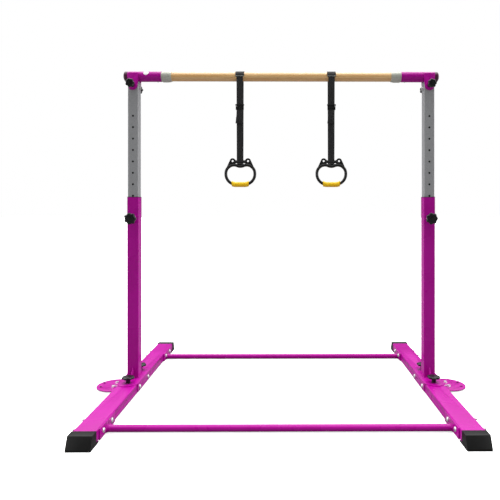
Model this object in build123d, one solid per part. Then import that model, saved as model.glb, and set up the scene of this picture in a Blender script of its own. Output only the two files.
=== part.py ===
from build123d import *
import math
import os

# Junior kip bar: two floor legs, two telescoping posts and a round wooden bar,
# with a pair of strap-hung hand rings.
# Millimetres. Origin on the floor midway between the posts, +X along the bar,
# -Y towards the gymnast's front, +Z up. Everything is drawn for the right-hand
# side (X > 0) and mirrored to the left.

os.makedirs("parts", exist_ok=True)

# ---------------------------------------------------------------- driving sizes
post_spacing = 1300.0        # centre to centre of the two posts
leg_tube_length = 1120.0     # steel part of each floor leg, along Y
bar_axis_z = 1371.5          # bar height at rest
outer_post_top_z = 838.0     # mouth of the lower post tube
cross_tube_places = {"front": -465.0, "rear": 420.0}   # along Y, the axes of the tubes
flange_places = {"front": -460.0, "rear": 442.0}       # along Y, the middles of their flanges

leg_width = 80.0
leg_height = 40.0
leg_wall = 2.0
leg_corner = 4.0
sole_thickness = 5.0         # rubbery sole that lifts the steel off the floor

inner_post_side = 45.0
inner_post_wall = 2.0
inner_post_corner = 3.0
inner_post_top_gap = 2.0     # top of the inner post to the sleeve above it
inner_post_tail = 128.0      # below the height pin
outer_post_wall = 1.5
outer_post_corner = 3.5
bush_wall = 0.75
bush_depth = 30.0
bush_lip = 2.5

bar_diameter = 40.0
bar_end_inboard = 40.0       # wood ends this far inboard of the post centre
sleeve_wall = 2.0
sleeve_outboard = 26.0       # beyond the post centre
sleeve_inboard = 121.5
collar_step = 2.0            # collar over the sleeve, radial
collar_nose_step = 2.0       # collar's thin end over the wood, radial
collar_neck = 5.5            # thin neck between the sleeve's end and the collar
collar_neck_step = 0.8       # neck below the sleeve's surface, radial
collar_length = 39.0
collar_taper = 14.0
plug_shank_length = 15.0
plug_head_length = 13.0
plug_dome_height = 8.5

cross_tube_diameter = 25.0
cross_tube_wall = 1.5
cross_tube_lift = 2.5        # under side above the floor
flange_thickness = 4.0
flange_length = 152.0
flange_top_drop = 2.0        # below the leg's top
flange_bolt_offset = 42.0    # either side of the flange's middle

saddle_thickness = 3.0
saddle_length = 266.0
saddle_skirt_length = 192.0
saddle_skirt_lift = 5.0      # inboard skirt's edge above the leg's bottom
saddle_bolt_y = 65.0
floor_plate_radius = 80.0
floor_plate_thickness = 4.0
floor_plate_offset = 83.0    # centre of the disc, outboard of the post centre
anchor_pitch = 50.0          # along Y, both pairs of holes
anchor_rim_inset = 23.0      # outer pair of holes, inboard of the disc's rim
anchor_hole_radius = 5.0
plate_bolt_offset = 84.0     # inner pair, outboard of the post centre
plate_bolt_head_height = 5.5
plate_bolt_proud = 3.0       # screw's end below the plate
plate_washer_diameter = 17.0
plate_washer_thickness = 1.5
gusset_thickness = 4.0
gusset_height = 45.0
gusset_reach = 32.0

cap_width = 83.0
cap_nose = 54.0              # how far the cap runs beyond the tube, at the floor
cap_top_run = 36.0           # flat top of the cap
cap_toe_height = 8.0
cap_proud = 1.0
cap_sole_tongue = 19.0       # sole that runs back under the leg
cap_plug_length = 30.0
cap_plug_wall = 3.0
cap_edge_round = 3.0

bolt_diameter = 8.0
bolt_head_diameter = 18.0
bolt_head_height = 5.0
bolt_tail = 22.0             # thread end, beyond the leg's side
nut_across_flats = 13.0
nut_height = 7.0
nut_flange_diameter = 18.0
nut_flange_height = 1.5

hole_pitch = 50.0            # height holes of the inner post
hole_diameter = 9.0
holes_below_pin = 2
top_hole_below_pivot = 130.0  # at least
pin_below_mouth = 93.0
pin_tip_diameter = 8.0
pin_stem_diameter = 12.0
pin_tip_length = 13.0
pin_travel = 10.0
pin_collar_diameter = 30.0
pin_collar_length = 16.0

height_knob_diameter = 52.0
top_knob_diameter = 39.0
foot_knob_diameter = 54.0
knob_lobes = 7
knob_head_thickness = 15.0
foot_knob_head_thickness = 11.0
foot_knob_hub_height = 17.0
foot_knob_hub_diameter = 19.0
knob_hub_diameter = 20.0
height_knob_hub_height = 5.0
top_knob_hub_height = 30.5
knob_edge = 1.5
stud_diameter = 10.0
stud_depth = 22.0            # below the saddle plate
knob_nut_across_flats = 17.0
knob_nut_height = 8.0

lug_width = 46.0
lug_end_radius = 21.0        # round the pivot
lug_taper = 12.0             # height over which the lug narrows to it
lug_boss_diameter = 32.0
lug_boss_height = 2.5
lug_thickness = 3.0
lug_top_above_axis = 12.5
lug_seat = 2.0               # how far the lug wraps the sleeve
pivot_below_bar = 42.5
pivot_bolt_in_head = 10.0    # how far the pivot bolt enters each knob's head
lock_bolt_below_bar = 53.0
lock_bolt_head_height = 6.0
lock_bolt_shank = 13.0
sleeve_screw_inset = 17.0    # from the sleeve's inboard end
sleeve_screw_diameter = 5.0
sleeve_screw_head_diameter = 9.0
sleeve_screw_head_height = 2.5
sleeve_screw_depth = 12.0

strap_drop = 375.5           # bar axis to the ring's upper bar
strap_width = 28.0
strap_thickness = 1.8
ring_centres = {"left": -182.0, "right": 221.0}
strap_centres = {"left": -183.0, "right": 220.0}
buckle_drop = 136.5          # bar axis to the buckle's middle
buckle_height = 26.0
buckle_thickness = 11.0
buckle_top_margin = 4.5      # plastic beside the slot, at the flared top
buckle_foot_margin = 1.75

ring_bar_diameter = 14.0
ring_strand_diameter = 13.0
ring_half_width = 64.0       # centre line of the strand
ring_widest_drop = 55.0      # below the upper bar
ring_bottom_straight = 18.0
ring_shoulder_radius = 36.0
ring_side_straight = 4.0
ring_dip = 6.0
ear_beyond_slot = 18.0
ear_rise = 3.0               # above the upper bar's axis
ear_radius = 12.5
ear_hole_radius = 4.5
ear_root_angle = 45.0        # where the ear meets the shoulder
ear_thickness = 8.0
ring_seat_radius = 10.0      # concave seat under the strap, about the upper bar
ring_seat_depth = 20.0       # web under the upper bar, down into the strand
grip_diameter = 22.4
grip_length = 75.0

# ---------------------------------------------------------------- clearances
bolt_clearance = 0.3         # radial, plain holes
thread_clearance = 0.03      # radial, nuts on their bolts
running_clearance = 0.05     # radial, parts that turn or slide on each other
slide_clearance = 0.2        # each side, inner post in its guide bush
press_clearance = 0.05       # bush and plugs in their tubes
cap_clearance = 0.3
body_gap = 0.5               # between pieces that move past each other
pin_rest_gap = 0.6           # pin tip to inner post while withdrawn
wood_clearance = 0.1
sleeve_clearance = 0.5       # sleeve over the wood
strap_clearance = 0.3
strap_slot_play = 2.0        # each side, strap in the ring
buckle_slot_play = 0.5       # each side, along the width
buckle_slot_gap = 0.55       # each face
grip_clearance = 0.02
knob_play = 0.5              # blind end of a knob's bore
overcut = 1.0                # how far a cutting shape runs past the faces it cuts

# ---------------------------------------------------------------- derived places
half = post_spacing / 2
leg_half = leg_tube_length / 2
leg_bottom_z = sole_thickness
leg_middle_z = leg_bottom_z + leg_height / 2
leg_top_z = leg_bottom_z + leg_height
leg_side = leg_width / 2
saddle_side = leg_side + saddle_thickness
saddle_top_z = leg_top_z + saddle_thickness
bolt_end_reach = leg_side + bolt_tail
foot_knob_y = saddle_length / 2 - saddle_side
cross_tube_axis_z = cross_tube_diameter / 2 + cross_tube_lift
tube_end_x = half - leg_side - flange_thickness
anchor_offset = floor_plate_offset + floor_plate_radius - anchor_rim_inset
plate_bolt_x = half + plate_bolt_offset
plate_low_z = leg_bottom_z
plate_high_z = plate_low_z + floor_plate_thickness

cavity_side = inner_post_side + 2 * (slide_clearance + bush_wall + press_clearance)
outer_post_side = cavity_side + 2 * outer_post_wall
outer_half = outer_post_side / 2
inner_half = inner_post_side / 2
bar_radius = bar_diameter / 2
sleeve_bore = bar_radius + sleeve_clearance
sleeve_radius = sleeve_bore + sleeve_wall
inner_post_top_z = bar_axis_z - sleeve_radius - inner_post_top_gap
pivot_z = bar_axis_z - pivot_below_bar
lock_bolt_z = bar_axis_z - lock_bolt_below_bar
pin_z = outer_post_top_z - pin_below_mouth
inner_post_bottom_z = pin_z - inner_post_tail
holes_above_pin = int((pivot_z - top_hole_below_pivot - pin_z) // hole_pitch)
lug_outside = max(inner_half, sleeve_radius) + lug_thickness
top_knob_base = lug_outside + lug_boss_height + body_gap
pivot_reach = top_knob_base + top_knob_hub_height + pivot_bolt_in_head
sleeve_screw_x = half - sleeve_inboard + sleeve_screw_inset

bolt_radius = bolt_diameter / 2
stud_radius = stud_diameter / 2
pin_tip_y = -inner_half - pin_rest_gap
pin_shoulder_y = pin_tip_y - pin_tip_length
height_knob_y = -outer_half - pin_collar_length - pin_travel - body_gap

strand_radius = ring_strand_diameter / 2
ring_bar_radius = ring_bar_diameter / 2
ring_pivot_z = bar_axis_z - strap_drop
ring_widest_z = ring_pivot_z - ring_widest_drop
ring_low_radius = ring_half_width - ring_bottom_straight
ring_bottom_z = ring_widest_z - ring_low_radius
ring_slot_half = strap_width / 2 + strap_slot_play
strap_top_inner = bar_radius + strap_clearance
strap_low_inner = ring_bar_radius + strap_clearance
buckle_slot_width = strap_width + 2 * buckle_slot_play
BASE = (Align.CENTER, Align.CENTER, Align.MIN)


# ---------------------------------------------------------------- shape helpers
def block(x, y, z):
    """Box from its (low, high) limits on each axis."""
    size = [high - low for low, high in (x, y, z)]
    middle = [(high + low) / 2 for low, high in (x, y, z)]
    return Pos(*middle) * Box(*size)


def rod(axis, start, end, radius, at):
    """Round bar along a world axis; at holds the other two coordinates in X, Y, Z order."""
    bar = Cylinder(radius, end - start, align=BASE)
    if axis == "X":
        return Pos(start, at[0], at[1]) * Rot(0, 90, 0) * bar
    if axis == "Y":
        return Pos(at[0], start, at[1]) * Rot(-90, 0, 0) * bar
    return Pos(at[0], at[1], start) * bar


def square_tube(width, depth, wall, corner, length):
    """Rounded rectangular tube standing on z = 0."""
    outside = RectangleRounded(width, depth, corner)
    inside = RectangleRounded(width - 2 * wall, depth - 2 * wall, corner - wall)
    return extrude(outside - inside, length)


def dome(radius, height):
    """Domed head standing on z = 0."""
    ball = (radius**2 + height**2) / (2 * height)
    return Pos(0, 0, height - ball) * Sphere(ball) & Cylinder(radius, height, align=BASE)


def hexagon(across_flats, height):
    """Hexagonal prism standing on z = 0."""
    return extrude(RegularPolygon(across_flats / 2, 6, major_radius=False), height)


def star_knob(diameter, head, hub_diameter, hub_height, bore_radius, bore_depth):
    """Star-shaped hand knob: hub standing on z = 0, lobed head on top, blind bore from below."""
    lobe = diameter * 0.13
    outline = Circle(diameter * 0.38)
    for place in PolarLocations(diameter / 2 - lobe, knob_lobes):
        outline += place * Circle(lobe)
    disc = extrude(outline, head)
    disc = chamfer(disc.faces().sort_by(Axis.Z)[-1].edges(), knob_edge)
    knob = Pos(0, 0, hub_height) * disc + Cylinder(hub_diameter / 2, hub_height, align=BASE)
    return knob - Cylinder(bore_radius, bore_depth, align=BASE)


def tangent_loop(top_radius, low_radius, drop):
    """Outline round two circles, the lower one drop below the upper."""
    lean = math.asin((top_radius - low_radius) / drop)
    upper = (top_radius * math.cos(lean), -top_radius * math.sin(lean))
    lower = (low_radius * math.cos(lean), -drop - low_radius * math.sin(lean))
    web = Polygon(upper, (-upper[0], upper[1]), (-lower[0], lower[1]), lower, align=None)
    return Circle(top_radius) + Pos(0, -drop) * Circle(low_radius) + web


def hull_of(first, second):
    """Straight-sided outline round two circles, each (x, z, radius)."""
    (x1, z1, r1), (x2, z2, r2) = first, second
    span = math.hypot(x2 - x1, z2 - z1)
    heading = math.degrees(math.atan2(z2 - z1, x2 - x1)) + 90
    if r1 >= r2:
        return Pos(x1, z1) * Rot(0, 0, heading) * tangent_loop(r1, r2, span)
    return Pos(x2, z2) * Rot(0, 0, heading + 180) * tangent_loop(r2, r1, span)


def save(name, *shapes):
    """Writes one node; several solids in a node are a group of like pieces."""
    solids = [solid for shape in shapes for solid in shape.solids()]
    node = solids[0] if len(solids) == 1 else Compound(children=solids)
    node.label = name
    export_step(node, f"parts/{name}.step")


def other_side(shape):
    return mirror(shape, about=Plane.YZ)


def behind(shape):
    return mirror(shape, about=Plane.XZ)


def save_pair(name, right):
    save(f"{name}_right", right)
    save(f"{name}_left", other_side(right))


def save_four(name, front_right):
    save_pair(f"{name}_front", front_right)
    save_pair(f"{name}_rear", behind(front_right))


def both_ends(shape):
    """A piece and its mirror image behind the posts."""
    return [shape, behind(shape)]


def four_times(pieces):
    """Like pieces of one side, with their mirror images on the other."""
    return [*pieces, *[other_side(piece) for piece in pieces]]


# ---------------------------------------------------------------- floor frame
def flange_bolt_rows(end):
    """The two bolts of one flange, along Y."""
    return (flange_places[end] - flange_bolt_offset, flange_places[end] + flange_bolt_offset)


def base_leg():
    tube = square_tube(leg_width, leg_height, leg_wall, leg_corner, leg_tube_length)
    leg = Pos(half, -leg_half, leg_middle_z) * Rot(-90, 0, 0) * tube
    reach = leg_side + overcut
    hole = bolt_radius + bolt_clearance
    for y in (-saddle_bolt_y, saddle_bolt_y, *flange_bolt_rows("front"), *flange_bolt_rows("rear")):
        leg -= rod("X", half - reach, half + reach, hole, (y, leg_middle_z))
    for place in (-foot_knob_y, foot_knob_y):
        hole = stud_radius + bolt_clearance
        under = leg_top_z - leg_wall - overcut
        leg -= rod("Z", under, leg_top_z + overcut, hole, (half, place))
    return leg


def end_cap():
    """Moulded foot at the front end of a leg: sloping nose, sole tongue and inner plug."""
    top = leg_top_z + cap_proud
    toe = leg_half + cap_nose
    outline = Polygon(
        (leg_half - cap_sole_tongue, 0),
        (toe, 0),
        (toe, cap_toe_height),
        (leg_half + cap_top_run, top),
        (leg_half, top),
        (leg_half, leg_bottom_z),
        (leg_half - cap_sole_tongue, leg_bottom_z),
        align=None,
    )
    side = Plane(origin=(half - cap_width / 2, 0, 0), x_dir=(0, -1, 0), z_dir=(-1, 0, 0))
    shell = extrude(side * outline, -cap_width)
    nose_edges = shell.edges().filter_by(Axis.X).group_by(Axis.Y)[0]
    slope_top = shell.edges().filter_by(Axis.X).group_by(Axis.Z)[-1].sort_by(Axis.Y)[0]
    shell = fillet([nose_edges.sort_by(Axis.Z)[-1], slope_top], cap_edge_round)
    gap = leg_wall + cap_clearance
    width = leg_width - 2 * gap
    height = leg_height - 2 * gap
    plug = extrude(RectangleRounded(width, height, leg_corner - leg_wall), cap_plug_length)
    room = Box(
        width - 2 * cap_plug_wall,
        height - 2 * cap_plug_wall,
        cap_plug_length + cap_top_run / 2,
        align=(Align.CENTER, Align.CENTER, Align.MAX),
    )
    mouth = Pos(half, -leg_half, leg_middle_z) * Rot(-90, 0, 0)
    return shell + mouth * plug - mouth * Pos(0, 0, cap_plug_length) * room


def cross_tube(end):
    at = (cross_tube_places[end], cross_tube_axis_z)
    radius = cross_tube_diameter / 2
    tube = rod("X", -tube_end_x, tube_end_x, radius, at)
    return tube - rod("X", -tube_end_x, tube_end_x, radius - cross_tube_wall, at)


def flange(end):
    """Plate welded to a cross tube's end and bolted to the leg's inner face."""
    middle = flange_places[end]
    reach = flange_length / 2
    plate = block(
        (tube_end_x, half - leg_side),
        (middle - reach, middle + reach),
        (leg_bottom_z, leg_top_z - flange_top_drop),
    )
    for y in flange_bolt_rows(end):
        at = (y, leg_middle_z)
        plate -= rod("X", tube_end_x - overcut, half, bolt_radius + bolt_clearance, at)
    return plate


def carriage_bolt(head_x, y, z):
    """Domed bolt whose head faces inboard and whose thread runs outboard through the leg."""
    head = Pos(head_x, y, z) * Rot(0, -90, 0) * dome(bolt_head_diameter / 2, bolt_head_height)
    return head + rod("X", head_x, half + bolt_end_reach, bolt_radius, (y, z))


def flange_nut(face_x, y, z):
    nut = hexagon(nut_across_flats, nut_height)
    nut += Cylinder(nut_flange_diameter / 2, nut_flange_height, align=BASE)
    nut -= Cylinder(bolt_radius + thread_clearance, nut_height, align=BASE)
    return Pos(face_x, y, z) * Rot(0, 90, 0) * nut


def flange_fasteners():
    bolts, nuts = [], []
    for y in (*flange_bolt_rows("front"), *flange_bolt_rows("rear")):
        bolts.append(carriage_bolt(tube_end_x, y, leg_middle_z))
        nuts.append(flange_nut(half + leg_side, y, leg_middle_z))
    return bolts, nuts


# ---------------------------------------------------------------- post feet
def foot_saddle():
    """Folded plate over the leg: obround top, a skirt each side."""
    slot = SlotOverall(saddle_length, 2 * saddle_side, rotation=90)
    plate = Pos(half, 0, leg_top_z) * extrude(slot, saddle_thickness)
    reach = saddle_skirt_length / 2
    inner_skirt = block(
        (half - saddle_side, half - leg_side),
        (-reach, reach),
        (leg_bottom_z + saddle_skirt_lift, leg_top_z),
    )
    outer_skirt = block(
        (half + leg_side, half + saddle_side), (-reach, reach), (plate_high_z, leg_top_z)
    )
    saddle = plate + inner_skirt + outer_skirt
    for y in (-saddle_bolt_y, saddle_bolt_y):
        hole = bolt_radius + bolt_clearance
        through = saddle_side + overcut
        saddle -= rod("X", half - through, half + through, hole, (y, leg_middle_z))
    for y in (-foot_knob_y, foot_knob_y):
        hole = stud_radius + bolt_clearance
        saddle -= rod("Z", leg_top_z - overcut, saddle_top_z + overcut, hole, (half, y))
    return saddle


def floor_plate():
    """Round plate beside the leg, level with its underside and cut off at its side."""
    disc_x = half + floor_plate_offset
    around = floor_plate_radius + overcut
    plate = rod("Z", plate_low_z, plate_high_z, floor_plate_radius, (disc_x, 0))
    plate &= block(
        (half + leg_side, disc_x + around), (-around, around), (plate_low_z, plate_high_z)
    )
    rows = (
        (plate_bolt_x, bolt_radius + thread_clearance),
        (half + anchor_offset, anchor_hole_radius),
    )
    for x, radius in rows:
        for y in (-anchor_pitch / 2, anchor_pitch / 2):
            plate -= rod("Z", plate_low_z - overcut, plate_high_z + overcut, radius, (x, y))
    return plate


def plate_bolt():
    """Hexagon-head screw and its washer, threaded into the floor plate beside the leg."""
    at = (plate_bolt_x, -anchor_pitch / 2)
    seat = plate_high_z + plate_washer_thickness
    screw = rod("Z", plate_high_z, seat, plate_washer_diameter / 2, at)
    screw += Pos(*at, seat) * hexagon(nut_across_flats, plate_bolt_head_height)
    return screw + rod("Z", plate_low_z - plate_bolt_proud, plate_high_z, bolt_radius, at)


def gusset():
    """Triangular rib in front of a post foot."""
    rib = Polygon(
        (outer_half, saddle_top_z),
        (outer_half + gusset_reach, saddle_top_z),
        (outer_half, saddle_top_z + gusset_height),
        align=None,
    )
    side = Plane(origin=(half - gusset_thickness / 2, 0, 0), x_dir=(0, -1, 0), z_dir=(-1, 0, 0))
    return extrude(side * rib, -gusset_thickness)


def saddle_fasteners():
    bolts = both_ends(carriage_bolt(half - saddle_side, -saddle_bolt_y, leg_middle_z))
    nuts = both_ends(flange_nut(half + saddle_side, -saddle_bolt_y, leg_middle_z))
    return bolts, nuts


def knob_nut():
    """Weld nut inside the leg, under a foot knob."""
    nut = hexagon(knob_nut_across_flats, knob_nut_height)
    nut -= Cylinder(stud_radius + running_clearance, knob_nut_height, align=BASE)
    return Pos(half, -foot_knob_y, leg_top_z - leg_wall - knob_nut_height) * nut


def foot_knob():
    bore = foot_knob_hub_height + foot_knob_head_thickness / 2
    knob = star_knob(
        foot_knob_diameter,
        foot_knob_head_thickness,
        foot_knob_hub_diameter,
        foot_knob_hub_height,
        stud_radius,
        bore,
    )
    return Pos(half, -foot_knob_y, saddle_top_z + body_gap) * knob


def foot_stud():
    top = saddle_top_z + body_gap + foot_knob_hub_height + foot_knob_head_thickness / 2
    return rod("Z", saddle_top_z - stud_depth, top, stud_radius, (half, -foot_knob_y))


# ---------------------------------------------------------------- lower posts
def outer_post():
    length = outer_post_top_z - saddle_top_z
    tube = square_tube(
        outer_post_side, outer_post_side, outer_post_wall, outer_post_corner, length
    )
    post = Pos(half, 0, saddle_top_z) * tube
    hole = pin_tip_diameter / 2 + running_clearance
    inside = -outer_half + outer_post_wall + overcut
    return post - rod("Y", -outer_half - overcut, inside, hole, (half, pin_z))


def guide_bush():
    """Plastic bush in the mouth of the outer post; the inner post slides in it."""
    opening = inner_post_side + 2 * slide_clearance
    around = opening + 2 * bush_wall
    cavity_corner = outer_post_corner - outer_post_wall
    skirt = extrude(RectangleRounded(around, around, cavity_corner), bush_depth)
    lip_outline = RectangleRounded(outer_post_side, outer_post_side, outer_post_corner)
    lip = Pos(0, 0, bush_depth) * extrude(lip_outline, bush_lip)
    through = extrude(
        RectangleRounded(opening, opening, cavity_corner - press_clearance), bush_depth + bush_lip
    )
    return Pos(half, 0, outer_post_top_z - bush_depth) * (skirt + lip - through)


def pin_collar():
    """Threaded collar welded to the front of the outer post."""
    end = -outer_half - pin_collar_length
    at = (half, pin_z)
    collar = rod("Y", end, -outer_half, pin_collar_diameter / 2, at)
    return collar - rod("Y", end, -outer_half, pin_stem_diameter / 2 + running_clearance, at)


def height_pin():
    at = (half, pin_z)
    end = height_knob_y - height_knob_hub_height - knob_head_thickness / 2
    tip = rod("Y", pin_shoulder_y, pin_tip_y, pin_tip_diameter / 2, at)
    return tip + rod("Y", end, pin_shoulder_y, pin_stem_diameter / 2, at)


def height_knob():
    knob = star_knob(
        height_knob_diameter,
        knob_head_thickness,
        knob_hub_diameter,
        height_knob_hub_height,
        pin_stem_diameter / 2,
        height_knob_hub_height + knob_head_thickness / 2,
    )
    return Pos(half, height_knob_y, pin_z) * Rot(90, 0, 0) * knob


# ---------------------------------------------------------------- upper frame
def inner_post():
    """Sliding square tube with its row of height holes in the front face."""
    length = inner_post_top_z - inner_post_bottom_z
    tube = square_tube(
        inner_post_side, inner_post_side, inner_post_wall, inner_post_corner, length
    )
    post = Pos(half, 0, inner_post_bottom_z) * tube
    inside = -inner_half + inner_post_wall + overcut
    for step in range(-holes_below_pin, holes_above_pin + 1):
        at = (half, pin_z + step * hole_pitch)
        post -= rod("Y", -inner_half - overcut, inside, hole_diameter / 2, at)
    bore = stud_radius + bolt_clearance
    post -= rod("Y", -inner_half - overcut, inner_half + overcut, bore, (half, pivot_z))
    face = half - inner_half
    bore = bolt_radius + bolt_clearance
    inside = face + inner_post_wall + overcut
    return post - rod("X", face - overcut, inside, bore, (0, lock_bolt_z))


def bar_sleeve():
    start = half - sleeve_inboard
    end = half + sleeve_outboard
    at = (0, bar_axis_z)
    sleeve = rod("X", start, end, sleeve_radius, at)
    sleeve -= rod("X", start, end, sleeve_bore, at)
    hole = sleeve_screw_diameter / 2 + bolt_clearance
    at = (sleeve_screw_x, 0)
    return sleeve - rod("Z", bar_axis_z - sleeve_radius - overcut, bar_axis_z, hole, at)


def bar_collar():
    """Grey ring that closes the sleeve's inboard end round the wood, tapering to the wood."""
    sleeve_end = half - sleeve_inboard
    start = sleeve_end - collar_neck
    wide = sleeve_radius + collar_step
    straight = collar_length - collar_taper
    ring = rod("X", start - straight, start, wide, (0, bar_axis_z))
    ring += rod("X", start, sleeve_end, sleeve_radius - collar_neck_step, (0, bar_axis_z))
    nose = Cone(wide, bar_radius + collar_nose_step, collar_taper, align=BASE)
    ring += Pos(start - straight, 0, bar_axis_z) * Rot(0, -90, 0) * nose
    bore = bar_radius + wood_clearance
    nose_end = start - collar_length
    return ring - rod("X", nose_end - overcut, sleeve_end + overcut, bore, (0, bar_axis_z))


def wooden_bar():
    end = half - bar_end_inboard
    bar = rod("X", -end, end, bar_radius, (0, bar_axis_z))
    bottom = bar_axis_z - bar_radius
    for x in (-sleeve_screw_x, sleeve_screw_x):
        pilot = bottom + sleeve_screw_depth
        bar -= rod("Z", bottom - overcut, pilot, sleeve_screw_diameter / 2, (x, 0))
    return bar


def sleeve_screw():
    """Button-head screw under the sleeve, into the wood."""
    seat = bar_axis_z - sleeve_radius
    head = Pos(sleeve_screw_x, 0, seat) * Rot(180, 0, 0) * dome(
        sleeve_screw_head_diameter / 2, sleeve_screw_head_height
    )
    top = bar_axis_z - bar_radius + sleeve_screw_depth
    return head + rod("Z", seat, top, sleeve_screw_diameter / 2, (sleeve_screw_x, 0))


def sleeve_plug():
    """Domed plug that closes the sleeve's outboard end, as thick as the sleeve."""
    end = half + sleeve_outboard
    at = (0, bar_axis_z)
    plug = rod("X", end - plug_shank_length, end, sleeve_bore - press_clearance, at)
    plug += rod("X", end, end + plug_head_length, sleeve_radius, at)
    crown = dome(sleeve_radius, plug_dome_height)
    return plug + Pos(end + plug_head_length, 0, bar_axis_z) * Rot(0, 90, 0) * crown


def yoke_lug():
    """Front cheek of the top joint: seated on the sleeve, round and bossed at the pivot."""
    inner = -min(inner_half, sleeve_radius) + lug_seat
    width = lug_width / 2
    top = bar_axis_z + lug_top_above_axis
    shoulder = pivot_z + lug_taper
    outline = Polygon(
        (-width, top),
        (-width, shoulder),
        (-lug_end_radius, pivot_z),
        (lug_end_radius, pivot_z),
        (width, shoulder),
        (width, top),
        align=None,
    )
    outline += Pos(0, pivot_z) * Circle(lug_end_radius)
    face = Plane(origin=(half, -lug_outside, 0), x_dir=(1, 0, 0), z_dir=(0, -1, 0))
    cheek = extrude(face * outline, -(inner + lug_outside))
    boss_face = -lug_outside - lug_boss_height
    cheek += rod("Y", boss_face, inner, lug_boss_diameter / 2, (half, pivot_z))
    tube_room = block(
        (half - width, half + width),
        (-inner_half, inner_half),
        (pivot_z - lug_width, inner_post_top_z),
    )
    cheek -= tube_room
    cheek -= rod("X", half - lug_width, half + lug_width, sleeve_radius, (0, bar_axis_z))
    bore = stud_radius + bolt_clearance
    return cheek - rod("Y", boss_face - overcut, 0, bore, (half, pivot_z))


def pivot_bolt():
    return rod("Y", -pivot_reach, pivot_reach, stud_radius, (half, pivot_z))


def lock_bolt():
    """Hexagon-head bolt in the inner post's inboard wall, with its weld nut inside."""
    face = half - inner_half
    at = (0, lock_bolt_z)
    head = Pos(face, 0, lock_bolt_z) * Rot(0, -90, 0) * hexagon(
        nut_across_flats, lock_bolt_head_height
    )
    washer = rod("X", face - nut_flange_height, face, nut_flange_diameter / 2, at)
    return head + washer + rod("X", face, face + lock_bolt_shank, bolt_radius, at)


def lock_nut():
    nut = hexagon(nut_across_flats, nut_height)
    nut -= Cylinder(bolt_radius + thread_clearance, nut_height, align=BASE)
    return Pos(half - inner_half + inner_post_wall, 0, lock_bolt_z) * Rot(0, 90, 0) * nut


def top_knob():
    """Star knob on the front end of the pivot bolt."""
    knob = star_knob(
        top_knob_diameter,
        knob_head_thickness,
        knob_hub_diameter,
        top_knob_hub_height,
        stud_radius + running_clearance,
        top_knob_hub_height + pivot_bolt_in_head + knob_play,
    )
    return Pos(half, -top_knob_base, pivot_z) * Rot(90, 0, 0) * knob


# ---------------------------------------------------------------- rings and straps
YZ = Plane(origin=(0, 0, bar_axis_z), x_dir=(0, 1, 0), z_dir=(1, 0, 0))


def strap(x):
    """Closed loop of webbing round the bar and round the ring's upper bar."""
    outside = tangent_loop(
        strap_top_inner + strap_thickness, strap_low_inner + strap_thickness, strap_drop
    )
    inside = tangent_loop(strap_top_inner, strap_low_inner, strap_drop)
    band = extrude(YZ * (outside - inside), strap_width)
    return Pos(x - strap_width / 2, 0, 0) * band


def buckle(x):
    """Ladder-lock buckle on the strap's front run: flared top, one slot for the webbing."""
    lean = math.asin((strap_top_inner - strap_low_inner) / strap_drop)
    middle = strap_top_inner + strap_thickness / 2
    run_y = middle / math.cos(lean) - buckle_drop * math.tan(lean)
    wide = buckle_slot_width / 2 + buckle_top_margin
    foot = buckle_slot_width / 2 + buckle_foot_margin
    tall = buckle_height / 2
    corners = [(-foot, -tall), (foot, -tall), (wide, 0), (wide, tall), (-wide, tall), (-wide, 0)]
    outline = Polygon(*corners)
    front = Plane(origin=(0, buckle_thickness / 2, 0), x_dir=(1, 0, 0), z_dir=(0, -1, 0))
    body = extrude(front * outline, buckle_thickness)
    body -= Box(buckle_slot_width, strap_thickness + 2 * buckle_slot_gap, 2 * buckle_height)
    return Pos(x, -run_y, bar_axis_z - buckle_drop) * Rot(math.degrees(lean), 0, 0) * body


def ring_half_path():
    """Right half of the ring's centre line, from the middle of the grip to the middle of the dip."""
    level_half = ring_half_width - ring_shoulder_radius
    turn = math.degrees(2 * math.atan(ring_dip / level_half))
    wave = level_half / math.sin(math.radians(turn)) / 2
    straight = Line((0, ring_bottom_z), (ring_bottom_straight, ring_bottom_z))
    low = JernArc(straight @ 1, straight % 1, ring_low_radius, 90)
    side = Line(low @ 1, low @ 1 + Vector(0, ring_side_straight))
    shoulder = JernArc(side @ 1, side % 1, ring_shoulder_radius, 90)
    down = JernArc(shoulder @ 1, shoulder % 1, wave, turn)
    level = JernArc(down @ 1, down % 1, wave, -turn)
    return [straight, low, side, shoulder, down, level]


def front_plane(x):
    return Plane(origin=(x, 0, 0), x_dir=(1, 0, 0), z_dir=(0, -1, 0))


def tube_along(edges, radius, x):
    """Round tube along a path drawn in the front plane, starting straight along +X."""
    path = front_plane(x) * Wire(edges)
    start = path @ 0
    section = Plane(origin=start, x_dir=(0, 1, 0), z_dir=(1, 0, 0)) * Circle(radius)
    return sweep(section, path=path)


def mirrored_about(shape, x):
    return mirror(shape, about=Plane(origin=(x, 0, 0), z_dir=(1, 0, 0)))


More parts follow.
